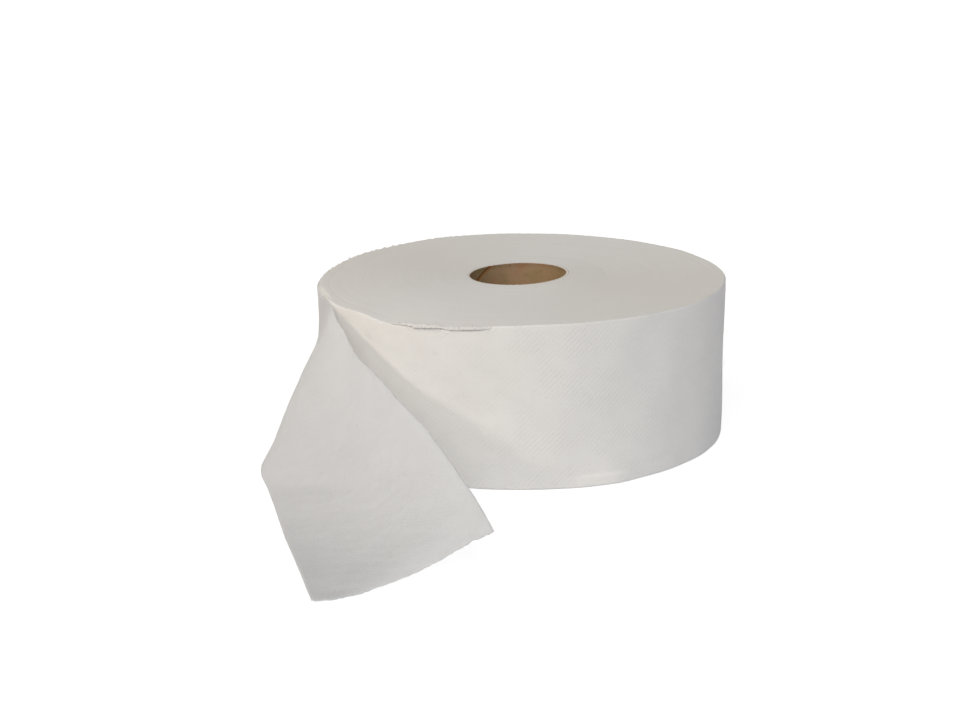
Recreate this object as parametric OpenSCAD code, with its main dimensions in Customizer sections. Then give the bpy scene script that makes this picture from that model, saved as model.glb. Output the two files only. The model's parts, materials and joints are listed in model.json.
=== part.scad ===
// Jumbo toilet paper roll, standing on a cut face with its loose end pulled out in front.
// The core's axis is Z, the roll stands on z = 0, and +Y is the side away from the loose end.

/* [Roll] */
// Outside diameter of the wound paper
roll_d = 250; // [200:1:300]
// Width of the paper, which is also the height of the standing roll
paper_w = 96; // [80:1:110]
// How far the slack winding has settled sideways off the core's centre
slump = 2; // [0:0.5:4]
// Rounding of the soft outer edges
rim_r = 0.8; // [0.2:0.1:3]

/* [Core] */
// Inside diameter of the cardboard core
core_bore_d = 60; // [45:1:76]
// Wall of the cardboard core
core_wall = 1.4; // [0.8:0.1:3]
// Gap between the core and the first turn, on the radius
core_gap = 0.05; // [0:0.01:0.2]

/* [Turns] */
// Bands of turns that can be told apart on the cut faces
turn_bands = 12; // [4:1:20]
// Width of the groove between two bands
turn_groove_w = 0.8; // [0.4:0.1:2]
// Depth of the groove between two bands
turn_groove_h = 0.3; // [0.1:0.05:0.8]

/* [Loose end] */
// Thickness of the loose sheet, both plies together
sheet_t = 0.4; // [0.2:0.05:1]
// Length of the loose sheet along its lower edge
tail_len = 326; // [280:1:360]
// Angle about the roll's axis at which the lower edge leaves the roll
leave_angle = 164.5; // [150:0.5:180]
// Run of the upper edge that still lies on the rim
rim_run = 70; // [50:1:100]
// Straight run of the lower edge from the roll to its bend
flare_run = 116; // [90:1:135]
// Turn of the lower edge at its bend
bend_turn = 31; // [15:1:40]
// Radius of the lower edge at its bend
bend_r = 32; // [15:1:60]
// Height that the lower edge rises off the floor at its bend
bend_rise = 3; // [0:0.5:6]

/* [Hidden] */

roll_r = roll_d / 2;
core_r = core_bore_d / 2 + core_wall;

// Even steps from the rim to the torn end, at which the next three lists hold
// Lean of the sheet away from upright, after the lean that the rim gives it
lean_steps = [27, 35.5, 46.5, 61.5, 74.5];
// Direction in which it leans, measured from +X
side_steps = [3, 8, 13, 18, 21];
// Sag across its width, from the rim on
sag_steps = [4, 0, 12, 13, 11, 6.5];

// Facets of the round parts, and what a cutting shape reaches past a face
CORE_FACETS = 96;
ROLL_FACETS = 180;
CUT_PAST = 1;

// The sheet is laid out in a grid of cells along and across it
CELLS_ALONG = 60;
CELLS_ACROSS = 8;
// Length before the leaving line over which the last turn rises out of the roll
lead_in = 24;
// Half of the stretch of lower edge that rises at the bend
rise_reach = 25;
// The sheet's two edges keep this far off the floor and below the upper cut face
edge_gap = 0.1;
// Height of the lower edge where it lies on the floor, at the middle of the sheet's thickness
edge_z = sheet_t / 2 + edge_gap;
// The sheet never leans more than this share of lying flat while its upper edge is on the rim
MAX_LEAN_SHARE = 0.95;
// A sheet that sags has a shorter straight width: that of a shallow arc
function chord(sag) = paper_w - 2 * edge_z - 8 / 3 * sag * sag / paper_w;

function along(angle) = [cos(angle), sin(angle)];

// Smooth value through a list of even steps, for t from 0 to 1
function smooth(list, t) =
    let (
        last = len(list) - 1,
        k = min(floor(t * last), last - 1),
        f = t * last - k,
        b = list[k],
        c = list[k + 1],
        a = k > 0 ? list[k - 1] : 2 * b - c,
        d = k + 2 <= last ? list[k + 2] : 2 * c - b
    )
    (2 * b + (c - a) * f + (2 * a - 5 * b + 4 * c - d) * f * f
        + (3 * b - 3 * c + d - a) * f * f * f) / 2;

// Lower edge on the floor: tangent to the roll, then one bend, then straight to the torn end
bend_len = bend_r * bend_turn * PI / 180;
bend_start = roll_r * along(leave_angle) + flare_run * along(leave_angle + 90);
bend_centre = bend_start + bend_r * along(leave_angle + 180);
bend_end = bend_centre + bend_r * along(leave_angle + bend_turn);

function lower_edge(s) =
    s < flare_run ? roll_r * along(leave_angle) + s * along(leave_angle + 90)
    : s < flare_run + bend_len
        ? bend_centre + bend_r * along(leave_angle + (s - flare_run) / bend_r * 180 / PI)
    : bend_end + (s - flare_run - bend_len) * along(leave_angle + 90 + bend_turn);

function lower_z(s) =
    edge_z + bend_rise * exp(-pow((s - flare_run - bend_len / 2) / rise_reach, 2));

// Offset on the floor from the lower edge to the rim, while the upper edge is on it
function rim_offset(s) = roll_r * along(leave_angle + s / roll_r * 180 / PI) - lower_edge(s);

function heading(v) = atan2(v[1], v[0]);

function rim_lean(s) = asin(min(norm(rim_offset(s)) / chord(0), MAX_LEAN_SHARE));

all_leans = concat([rim_lean(rim_run)], lean_steps);
all_sides = concat([heading(rim_offset(rim_run))], side_steps);

// Lean, side and sag at a distance along the sheet
function free_part(s) = (s - rim_run) / (tail_len - rim_run);
function lean_at(s) = s < rim_run ? rim_lean(s) : smooth(all_leans, free_part(s));
function side_at(s) =
    s <= 0.01 ? leave_angle + 180
    : s < rim_run ? heading(rim_offset(s))
    : smooth(all_sides, free_part(s));
function sag_at(s) = s < rim_run ? sag_steps[0] * s / rim_run : smooth(sag_steps, free_part(s));

// The sheet can't go into the roll, nor into the floor
function kept_out(p) =
    let (r = norm([p[0], p[1]]), grow = max(1, roll_r / r))
    [p[0] * grow, p[1] * grow, max(p[2], edge_z)];

// Middle of the sheet at a distance along it and a share of its width
function free_point(s, w) =
    let (
        lean = lean_at(s),
        side = along(side_at(s)),
        sag = sag_at(s),
        foot = lower_edge(s),
        up = w * chord(sag),
        dip = 4 * w * (1 - w) * sag,
        out = up * sin(lean) + dip * cos(lean)
    )
    kept_out([foot[0] + out * side[0], foot[1] + out * side[1],
        lower_z(s) + up * cos(lean) - dip * sin(lean)]);

// Last turn of the roll, rising by one thickness out of the turn below it
function wound_point(s, w) =
    let (r = roll_r + sheet_t * s / lead_in, p = r * along(leave_angle + s / roll_r * 180 / PI))
    [p[0], p[1], edge_z + w * chord(0)];

function sheet_point(s, w) = s < 0 ? wound_point(s, w) : free_point(s, w);

sheet_grid = [
    for (i = [0 : CELLS_ALONG]) [
        for (j = [0 : CELLS_ACROSS])
            sheet_point(-lead_in + i * (tail_len + lead_in) / CELLS_ALONG, j / CELLS_ACROSS)
    ]
];

function unit(v) = v / norm(v);

function sheet_normal(i, j) =
    let (
        a = sheet_grid[min(i + 1, CELLS_ALONG)][j] - sheet_grid[max(i - 1, 0)][j],
        b = sheet_grid[i][min(j + 1, CELLS_ACROSS)] - sheet_grid[i][max(j - 1, 0)]
    )
    unit(cross(a, b));

module core() {
    color([0.62, 0.49, 0.36])
    difference() {
        cylinder(r = core_r, h = paper_w, $fn = CORE_FACETS);
        translate([0, 0, -CUT_PAST])
            cylinder(d = core_bore_d, h = paper_w + 2 * CUT_PAST, $fn = CORE_FACETS);
    }
}

// Wound body with softly rounded outer edges
module wound_body() {
    translate([slump, 0, 0])
    rotate_extrude($fn = ROLL_FACETS)
        polygon(concat(
            [[0, 0]],
            [for (a = [-90 : 15 : 0]) [roll_r - rim_r + rim_r * cos(a), rim_r + rim_r * sin(a)]],
            [for (a = [0 : 15 : 90]) [roll_r - rim_r + rim_r * cos(a), paper_w - rim_r + rim_r * sin(a)]],
            [[0, paper_w]]
        ));
}

// Grooves between bands of turns, sharing the cut face evenly and settling with the winding
module turn_grooves() {
    for (k = [1 : turn_bands]) {
        share = k / (turn_bands + 1);
        translate([slump * share, 0, 0])
        rotate_extrude($fn = ROLL_FACETS)
            translate([core_r + share * (roll_r - core_r), 0])
                polygon([
                    [-turn_groove_w / 2, -CUT_PAST],
                    [turn_groove_w / 2, -CUT_PAST],
                    [turn_groove_w / 2, 0],
                    [0, turn_groove_h],
                    [-turn_groove_w / 2, 0]
                ]);
    }
}

// Loose end: a thin closed sheet, one face and its back joined round the four edges
module loose_end() {
    row = CELLS_ACROSS + 1;
    layer = (CELLS_ALONG + 1) * row;
    points = [
        for (h = [0.5, -0.5]) for (i = [0 : CELLS_ALONG]) for (j = [0 : CELLS_ACROSS])
            sheet_grid[i][j] + h * sheet_t * sheet_normal(i, j)
    ];
    front = [
        for (i = [0 : CELLS_ALONG - 1]) for (j = [0 : CELLS_ACROSS - 1])
        let (a = i * row + j)
        each [[a, a + 1, a + row], [a + 1, a + row + 1, a + row]]
    ];
    back = [for (f = front) [f[0] + layer, f[2] + layer, f[1] + layer]];
    edges = concat(
        [for (j = [0 : CELLS_ACROSS - 1]) [j + 1, j]],
        [for (i = [0 : CELLS_ALONG - 1]) [i * row, (i + 1) * row]],
        [for (j = [0 : CELLS_ACROSS - 1]) [CELLS_ALONG * row + j, CELLS_ALONG * row + j + 1]],
        [for (i = [CELLS_ALONG - 1 : -1 : 0]) [(i + 1) * row + CELLS_ACROSS, i * row + CELLS_ACROSS]]
    );
    walls = [
        for (e = edges)
        each [[e[0], e[1], e[0] + layer], [e[1], e[1] + layer, e[0] + layer]]
    ];
    translate([slump, 0, 0])
        polyhedron(points, concat(front, back, walls));
}

module paper() {
    color([0.87, 0.86, 0.83])
    union() {
        difference() {
            wound_body();
            translate([0, 0, -CUT_PAST])
                cylinder(r = core_r + core_gap, h = paper_w + 2 * CUT_PAST, $fn = CORE_FACETS);
            turn_grooves();
            translate([0, 0, paper_w])
                mirror([0, 0, 1])
                    turn_grooves();
        }
        loose_end();
    }
}

core();
paper();
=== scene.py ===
"""Looks of the jumbo toilet paper roll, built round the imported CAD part.

Everything is in metres, in the part's own frame: the core's axis is Z, the roll stands on z = 0,
and its loose end leaves on the -X side and runs out towards -Y.
"""

from __future__ import annotations

import json
import logging
import math
from collections.abc import Sequence
from dataclasses import dataclass
from enum import Enum
from typing import Any

import bpy
import numpy as np
from mathutils import Matrix, Vector


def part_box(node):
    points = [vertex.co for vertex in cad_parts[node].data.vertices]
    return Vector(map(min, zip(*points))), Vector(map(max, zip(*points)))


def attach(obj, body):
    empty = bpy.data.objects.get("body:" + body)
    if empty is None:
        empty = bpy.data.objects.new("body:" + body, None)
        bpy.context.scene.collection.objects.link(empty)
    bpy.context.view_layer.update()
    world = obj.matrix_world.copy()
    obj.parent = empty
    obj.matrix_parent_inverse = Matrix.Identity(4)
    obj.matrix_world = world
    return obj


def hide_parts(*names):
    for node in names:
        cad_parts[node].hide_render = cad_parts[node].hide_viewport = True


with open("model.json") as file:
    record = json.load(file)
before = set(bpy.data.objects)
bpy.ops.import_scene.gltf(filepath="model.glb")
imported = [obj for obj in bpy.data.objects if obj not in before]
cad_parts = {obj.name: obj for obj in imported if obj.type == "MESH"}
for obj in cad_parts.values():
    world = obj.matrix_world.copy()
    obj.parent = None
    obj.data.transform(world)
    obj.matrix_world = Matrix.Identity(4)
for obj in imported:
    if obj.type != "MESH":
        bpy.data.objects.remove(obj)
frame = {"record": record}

log = logging.getLogger("paper_roll")

MM = 0.001
Colour = tuple[float, float, float]
Table = tuple[tuple[float, float], ...]

# Light and dark tint of each face of the tissue
SIDE_TINTS = ((0.80, 0.785, 0.755), (0.74, 0.72, 0.69))
CUT_TINTS = ((0.74, 0.73, 0.71), (0.70, 0.69, 0.67))
LOOSE_TINTS = ((0.925, 0.93, 0.935), (0.885, 0.89, 0.895))
# Painted shade: the curled hem's tints are the side's tints, darkened by about an eighth
HEM_SHADED_TINTS = ((0.70, 0.685, 0.66), (0.64, 0.625, 0.60))

# The core's strip climbs one pitch in a turn, and its seam crosses the foot at this share of one
SEAM_PITCH = 110 * MM
SEAM_PHASE = 0.213


class Skin(Enum):
    """The three faces of tissue that show: wound side, cut face and loose sheet."""

    SIDE = "side"
    CUT = "cut"
    LOOSE = "loose"


class Value:
    """A number socket, with the operators that shader maths is written in."""

    def __init__(self, graph: Graph, socket: bpy.types.NodeSocket) -> None:
        """Keeps the socket and the graph that it belongs to.

        Args:
            graph: the node graph that new Math nodes go into.
            socket: the output socket that holds the number.
        """
        self.graph = graph
        self.socket = socket

    def _math(self, operation: str, a: Any, b: Any = None) -> Value:
        """Adds one Math node.

        Args:
            operation: the Math node's operation.
            a: the first number or Value.
            b: the second number or Value, if the operation takes one.

        Returns:
            The node's result.
        """
        values = {0: a} if b is None else {0: a, 1: b}
        return self.graph.value("ShaderNodeMath", {"operation": operation}, values)

    def __add__(self, other: Value | float) -> Value:
        """Sum."""
        return self._math("ADD", self, other)

    __radd__ = __add__

    def __sub__(self, other: Value | float) -> Value:
        """Difference."""
        return self._math("SUBTRACT", self, other)

    def __rsub__(self, other: float) -> Value:
        """Difference from a number."""
        return self._math("SUBTRACT", other, self)

    def __mul__(self, other: Value | float) -> Value:
        """Product."""
        return self._math("MULTIPLY", self, other)

    __rmul__ = __mul__

    def __truediv__(self, other: Value | float) -> Value:
        """Quotient."""
        return self._math("DIVIDE", self, other)

    def fract(self) -> Value:
        """Part after the point."""
        return self._math("FRACT", self)

    def sine(self) -> Value:
        """Sine of an angle in radians."""
        return self._math("SINE", self)

    def root(self) -> Value:
        """Square root."""
        return self._math("SQRT", self)

    def larger(self, other: Value | float) -> Value:
        """Larger of the two."""
        return self._math("MAXIMUM", self, other)

    def step(self, low: float, high: float) -> Value:
        """Rises smoothly from 0 at low to 1 at high, or falls if low is above high.

        Args:
            low: where the result is 0.
            high: where the result is 1.

        Returns:
            The smooth step.
        """
        ends = (low, high, 0.0, 1.0) if low < high else (high, low, 1.0, 0.0)
        settings = {"interpolation_type": "SMOOTHSTEP"}
        inputs = {"Value": self, "From Min": ends[0], "From Max": ends[1]}
        inputs |= {"To Min": ends[2], "To Max": ends[3]}
        return self.graph.value("ShaderNodeMapRange", settings, inputs, "Result")


class Graph:
    """One material's nodes."""

    def __init__(self, name: str, world: bool = False) -> None:
        """Makes an empty node material, or an empty world.

        Args:
            name: its name.
            world: makes a world.
        """
        self.material = (bpy.data.worlds if world else bpy.data.materials).new(name)
        self.material.use_nodes = True
        self.tree = self.material.node_tree
        self.tree.nodes.clear()

    def node(self, kind: str, settings: dict[str, Any] | None = None,
             inputs: dict[Any, Any] | None = None) -> bpy.types.Node:
        """Adds any node: its settings first, then its sockets' values and links.

        Args:
            kind: the node's type.
            settings: attributes to set.
            inputs: values, Values or sockets by input name or number.

        Returns:
            The node.
        """
        made = self.tree.nodes.new(kind)
        for key, setting in (settings or {}).items():
            setattr(made, key, setting)
        for key, value in (inputs or {}).items():
            socket = made.inputs[key]
            if isinstance(value, Value):
                self.tree.links.new(value.socket, socket)
            elif isinstance(value, bpy.types.NodeSocket):
                self.tree.links.new(value, socket)
            else:
                socket.default_value = value
        return made

    def value(self, kind: str, settings: dict[str, Any] | None = None,
              inputs: dict[Any, Any] | None = None, output: Any = 0) -> Value:
        """Adds a node and gives one of its outputs as a Value.

        Args:
            kind: the node's type.
            settings: as in node().
            inputs: as in node().
            output: the output's name or number.

        Returns:
            The output.
        """
        return Value(self, self.node(kind, settings, inputs).outputs[output])

    def web(self) -> tuple[Value, Value]:
        """Place on the web of paper or board.

        Returns:
            Millimetres along and across it.
        """
        uv = self.node("ShaderNodeUVMap", {"uv_map": "web"})
        parts = self.node("ShaderNodeSeparateXYZ", None, {0: uv.outputs[0]})
        return tuple(Value(self, parts.outputs[k]) * (1 / MM) for k in (0, 1))

    def noise(self, x: Value | float, y: Value | float, detail: float = 2.0,
              seed: float = 0.0) -> Value:
        """Soft noise over two coordinates, about 0.2 to 0.8 round a mean of 0.5.

        Args:
            x: first coordinate, one grain to the unit.
            y: second coordinate.
            detail: octaves of finer grain.
            seed: place along the third axis.

        Returns:
            The noise.
        """
        at = self.node("ShaderNodeCombineXYZ", None, {0: x, 1: y, 2: seed})
        inputs = {"Vector": at.outputs[0], "Scale": 1.0, "Detail": detail, "Roughness": 0.55}
        return self.value("ShaderNodeTexNoise", {"noise_dimensions": "3D"}, inputs)

    def blend(self, factor: Value, a: Any, b: Any, mode: str = "MIX") -> bpy.types.NodeSocket:
        """Mixes two colours.

        Args:
            factor: 0 gives a and 1 gives b, or a times b.
            a: a colour or a colour socket.
            b: a colour or a colour socket.
            mode: MIX or MULTIPLY.

        Returns:
            The mixed colour's socket.
        """
        a, b = ((*c, 1.0) if isinstance(c, tuple) else c for c in (a, b))
        return self.node("ShaderNodeMix", {"data_type": "RGBA", "blend_type": mode},
                         {0: factor, 6: a, 7: b}).outputs[2]

    def bump(self, height: Value, distance: float,
             normal: bpy.types.NodeSocket | None = None) -> bpy.types.NodeSocket:
        """Turns a height into a normal.

        Args:
            height: the height, from 0 to 1.
            distance: what a height of 1 stands for, in metres.
            normal: a normal to start from.

        Returns:
            The normal's socket.
        """
        inputs = {"Height": height, "Distance": distance, "Strength": 1.0}
        if normal is not None:
            inputs["Normal"] = normal
        return self.node("ShaderNodeBump", None, inputs).outputs[0]

    def dull(self, colour: bpy.types.NodeSocket, normal: bpy.types.NodeSocket, roughness: float,
             gloss: float, sheen: float = 0.0) -> bpy.types.NodeSocket:
        """Adds the shader of a dull fibrous surface.

        Args:
            colour: its colour.
            normal: its normal.
            roughness: its roughness.
            gloss: its specular level.
            sheen: weight of the soft light off its nap.

        Returns:
            The shader's socket.
        """
        return self.node("ShaderNodeBsdfPrincipled", None, {
            "Base Color": colour, "Normal": normal, "Roughness": roughness,
            "Specular IOR Level": gloss, "Sheen Weight": sheen, "Sheen Roughness": 0.6,
        }).outputs[0]

    def surface(self, shader: bpy.types.NodeSocket) -> bpy.types.Material:
        """Ends the graph at the material's surface.

        Args:
            shader: the shader that the surface shows.

        Returns:
            The finished material.
        """
        self.node("ShaderNodeOutputMaterial", None, {"Surface": shader})
        return self.material


@dataclass(frozen=True)
class TissueFinish:
    """Soft two-ply crepe with rows of fine pressed dots.

    Depths are in metres. Steps, radii and places on the web are in millimetres. A cut face has a
    painted sheen: sectors of its colour are painted lighter twice and once a turn, and darker
    between them as painted shade; the swing says how much, and the turn where.
    """

    skin: Skin
    tint: Colour
    shade: Colour
    dot_step: float = 1.1
    row_step: float = 3.2
    dot_radius: float = 0.5
    dot_floor: float = 0.15
    dot_depth: float = 0.20 * MM
    dot_painted_shade: float = 0.24
    crepe_depth: float = 0.10 * MM
    fluff_depth: float = 0.22 * MM
    fleck_depth: float = 0.10 * MM
    ring_depth: float = 0.05 * MM
    fray_depth: float = 0.16 * MM
    see_through: float = 0.0
    leaves: float = 0.0
    freed: tuple[float, float] = (5.0, 45.0)
    held: tuple[Colour, Colour] = SIDE_TINTS
    roll_radius: float = 125.0
    painted_sheen_swing: tuple[float, float] = (0.38, 0.12)
    painted_sheen_turn: tuple[float, float] = (0.70, 2.79)
    painted_sector_shade: Colour = (0.92, 0.915, 0.885)

    def dots(self, u: Value, v: Value) -> Value:
        """Pressed dots in rows that climb to the right at 45 degrees.

        Args:
            u: millimetres along the web.
            v: millimetres across it.

        Returns:
            1 in a dot and 0 between dots.
        """
        along = (v / self.dot_step).fract() - 0.5
        aside = ((u - v) / self.row_step).fract() - 0.5
        up = along * self.dot_step
        across = up + aside * self.row_step
        return (up * up + across * across).root().step(self.dot_radius, self.dot_floor)

    def free(self, u: Value) -> Value:
        """0 where the loose sheet still lies on the roll and 1 where it has left it."""
        return (u - self.leaves).step(*self.freed)

    def _web_skin(self, graph: Graph) -> tuple[bpy.types.NodeSocket, bpy.types.NodeSocket]:
        """Colour and normal of the wound side or the loose sheet.

        Args:
            graph: the material's nodes.

        Returns:
            The colour's and the normal's sockets.
        """
        u, v = graph.web()
        clouds = graph.noise(u * 0.02, v * 0.03, 3.0, 3.0)
        pressed = graph.noise(u * 0.07, v * 0.09, 1.0, 8.0).step(0.34, 0.6)
        dots = self.dots(u, v) * (0.35 + 0.65 * pressed)
        if self.see_through:
            dots = dots * (1 - 0.5 * self.free(u))
        crepe = graph.noise(u * 1.6, v * 0.32, 2.0, 1.0)
        fluff = graph.noise(u * 0.55, v * 0.6, 3.0, 5.0)
        flecks = graph.noise(u * 0.16, v * 0.7, 1.0, 12.0).step(0.68, 0.76)
        # Painted shade: the pressed dots are darkened in the colour; the rest is random clouds and
        # fluff of tone, lightened at flecks
        dark = 0.55 * clouds.step(0.3, 0.75) + self.dot_painted_shade * dots + 0.25 * fluff
        worn = (dark - 0.6 * flecks) * 0.5
        colour = graph.blend(worn, self.tint, self.shade)
        if self.see_through:
            colour = graph.blend(self.free(u), graph.blend(worn, *self.held), colour)
        normal = graph.bump(crepe, self.crepe_depth)
        normal = graph.bump(fluff, self.fluff_depth, normal)
        normal = graph.bump(1 - dots, self.dot_depth, normal)
        return colour, graph.bump(flecks, self.fleck_depth, normal)

    def _cut_skin(self, graph: Graph) -> tuple[bpy.types.NodeSocket, bpy.types.NodeSocket]:
        """Colour and normal of a cut face: thousands of ply edges that run in rings, with painted
        sheen and shade in sectors.

        Args:
            graph: the material's nodes.

        Returns:
            The colour's and the normal's sockets.
        """
        u, v = graph.web()
        rings = graph.noise(v * 1.3, u * 0.012, 2.0, 2.0)
        bands = graph.noise(v * 0.16, u * 0.006, 2.0, 6.0)
        fray = graph.noise(v * 1.1, u * 0.35, 3.0, 9.0)
        clouds = graph.noise(v * 0.05, u * 0.03, 2.0, 4.0)
        dark = 0.4 * rings + 0.4 * bands.step(0.3, 0.7) + 0.3 * fray + 0.5 * clouds
        # Painted sheen and shade: sectors of the cut face are painted lighter and darker, twice and
        # once a turn, in place of light caught by the nap
        turned = u / self.roll_radius
        twice, once = (2 * turned - self.painted_sheen_turn[0]).sine(), (turned - self.painted_sheen_turn[1]).sine()
        nap = 0.5 + self.painted_sheen_swing[0] * twice + self.painted_sheen_swing[1] * once
        colour = graph.blend(dark * 0.5, self.tint, self.shade)
        colour = graph.blend(1 - nap, colour, self.painted_sector_shade, "MULTIPLY")
        normal = graph.bump(rings, self.ring_depth)
        return colour, graph.bump(fray, self.fray_depth, normal)

    def material(self) -> bpy.types.Material:
        """Makes the material.

        Returns:
            Opaque tissue, or tissue that lets light through where it hangs free.
        """
        graph = Graph(f"tissue_{self.skin.value}")
        skin = self._cut_skin if self.skin is Skin.CUT else self._web_skin
        colour, normal = skin(graph)
        shader = graph.dull(colour, normal, roughness=0.95, gloss=0.15, sheen=0.08)
        if self.see_through:
            through = graph.node("ShaderNodeBsdfTranslucent", None,
                                 {"Color": colour, "Normal": normal}).outputs[0]
            share = self.free(graph.web()[0]) * self.see_through
            inputs = {0: share, 1: shader, 2: through}
            shader = graph.node("ShaderNodeMixShader", None, inputs).outputs[0]
        return graph.surface(shader)


@dataclass(frozen=True)
class BoardFinish:
    """Unbleached board, wound from strips that leave a slanted seam.

    The turn is the way round the bore in millimetres. The seam and its glue line fade in over
    squared distances in millimetres.
    """

    light: Colour = (0.35, 0.235, 0.135)
    deep: Colour = (0.24, 0.145, 0.07)
    # Painted light of the bore's far wall
    painted_light: Colour = (0.40, 0.26, 0.15)
    green: Colour = (0.25, 0.19, 0.07)
    orange: Colour = (0.36, 0.175, 0.08)
    glue: Colour = (0.28, 0.115, 0.025)
    dark_glue: Colour = (0.14, 0.05, 0.012)
    speck: Colour = (0.10, 0.055, 0.03)
    pale: Colour = (0.72, 0.69, 0.64)
    pale_dark: Colour = (0.62, 0.58, 0.51)
    turn: float = 188.5
    seam_edge: tuple[float, float] = (3.6, 1.4)
    glue_edge: tuple[float, float] = (0.9, 0.1)

    def cut_end(self) -> bpy.types.Material:
        """Makes the material of the cut ends.

        Returns:
            Pale board, dusty with paper.
        """
        graph = Graph("board_end")
        u, v = graph.web()
        grain = graph.noise(u * 0.4, v * 1.5, 3.0, 2.0)
        colour = graph.blend(grain, self.pale, self.pale_dark)
        normal = graph.bump(grain, 0.1 * MM)
        return graph.surface(graph.dull(colour, normal, roughness=0.9, gloss=0.2))

    def bore(self) -> bpy.types.Material:
        """Makes the material of the bore.

        Returns:
            Brown board with patches, specks, a seam and its line of glue, and painted light and
            shade round the bore.
        """
        graph = Graph("board")
        u, v = graph.web()
        grain = graph.noise(u * 0.45, v * 0.14, 4.0, 1.0)
        clouds = graph.noise(u * 0.06, v * 0.08, 3.0, 4.0)
        patches = graph.noise(u * 0.075, v * 0.12, 2.0, 11.0)
        specks = graph.noise(u * 0.6, v * 0.5, 1.0, 7.0).step(0.70, 0.76)
        pitch = SEAM_PITCH / MM
        across = v / pitch + u / self.turn + (0.5 - SEAM_PHASE)
        across = (across.fract() - 0.5) * pitch
        seam, line = (across * across).step(*self.seam_edge), across - 1.0
        # Painted light: one sector of each turn, the bore's far wall, is painted lighter, and the
        # rest of the way round is painted darker and greener as painted shade
        back = (u * (2 * math.pi / self.turn) + 0.087).sine().step(0.45, 1.0)
        tone = 1.1 * grain + 1.3 * clouds - 0.7
        colour = graph.blend(tone.larger(0), self.light, self.deep)
        colour = graph.blend(back * 0.8, colour, self.painted_light)
        colour = graph.blend(patches.step(0.45, 0.75) * 0.6, colour, self.green)
        colour = graph.blend(patches.step(0.5, 0.25) * 0.5, colour, self.orange)
        colour = graph.blend((1 - back) * 0.35, colour, self.green)
        colour = graph.blend(specks * 0.7, colour, self.speck)
        colour = graph.blend(seam * 0.7, colour, self.glue)
        colour = graph.blend((line * line).step(*self.glue_edge) * 0.8, colour, self.dark_glue)
        normal = graph.bump(grain, 0.12 * MM)
        normal = graph.bump(1 - seam, 0.2 * MM, normal)
        return graph.surface(graph.dull(colour, normal, roughness=0.8, gloss=0.3))


def seen_directly(graph: Graph) -> Value:
    """Tells sight from light, for surroundings that only look white.

    Args:
        graph: nodes of the floor or the world.

    Returns:
        1 for rays from the camera, off gloss or through glass, and 0 for diffuse light.
    """
    rays = graph.node("ShaderNodeLightPath").outputs
    camera, glossy, passed, diffuse = (
        Value(graph, rays[f"Is {name} Ray"])
        for name in ("Camera", "Glossy", "Transmission", "Diffuse"))
    return camera.larger(glossy).larger(passed * (1 - diffuse))


@dataclass(frozen=True)
class FloorFinish:
    """Pale floor that the camera sees as white, with the object's shadow on it."""

    bounce: float = 0.80
    shown: float = 0.85
    share: float = 0.42
    glow: float = 1.40

    def material(self) -> bpy.types.Material:
        """Makes the material.

        Returns:
            A floor that glows to the eye, and only bounces light to the object.
        """
        graph = Graph("floor")
        seen = seen_directly(graph)
        dull, pale = (
            graph.node("ShaderNodeBsdfDiffuse", None, {0: (c, c, c, 1.0)}).outputs[0]
            for c in (self.bounce, self.shown))
        glow = graph.node("ShaderNodeEmission", None, {1: self.glow}).outputs[0]
        lit = graph.node("ShaderNodeMixShader", None, {0: self.share, 1: glow, 2: pale}).outputs[0]
        return graph.surface(
            graph.node("ShaderNodeMixShader", None, {0: seen, 1: dull, 2: lit}).outputs[0])


@dataclass(frozen=True)
class Waves:
    """A seeded sum of sine waves, for dents, frays and crumples."""

    seed: int
    longest: float
    shortest: float
    count: int = 24
    period: float | None = None

    def at(self, u: np.ndarray, v: np.ndarray | float = 0.0) -> np.ndarray:
        """Height of the waves.

        Args:
            u: first coordinate in metres, periodic if period is set.
            v: second coordinate in metres.

        Returns:
            Heights with a spread of about 1.
        """
        dice = np.random.default_rng(self.seed)
        total = np.zeros(np.broadcast(u, v).shape)
        for _ in range(self.count):
            wave = self.longest * (self.shortest / self.longest) ** dice.random()
            turn = dice.uniform(-0.9, 0.9) if np.ndim(v) else 0.0
            rate = math.cos(turn) / wave
            if self.period:
                rate = max(1, round(rate * self.period)) / self.period
            phase = dice.uniform(0, 2 * math.pi)
            total = total + np.sin(2 * math.pi * (u * rate + v * math.sin(turn) / wave) + phase)
        return total / math.sqrt(self.count / 2)


def step(x: np.ndarray | float, low: float, high: float) -> np.ndarray:
    """Smooth step in plain numbers.

    Args:
        x: the value or values.
        low: where the result is 0.
        high: where the result is 1; it may be below low.

    Returns:
        Values from 0 to 1.
    """
    t = np.clip((np.asarray(x, float) - low) / (high - low), 0, 1)
    return t * t * (3 - 2 * t)


def look_up(table: Table, place: np.ndarray) -> np.ndarray:
    """Looks a place up in a table in millimetres; takes and gives metres."""
    return np.interp(place / MM, *np.array(table).T) * MM


def slant(angle: np.ndarray) -> np.ndarray:
    """How far the core's upper end is pushed up, with the paper round it: most at +X."""
    return (0.25 + 0.95 * np.cos(angle)) * MM


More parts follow.
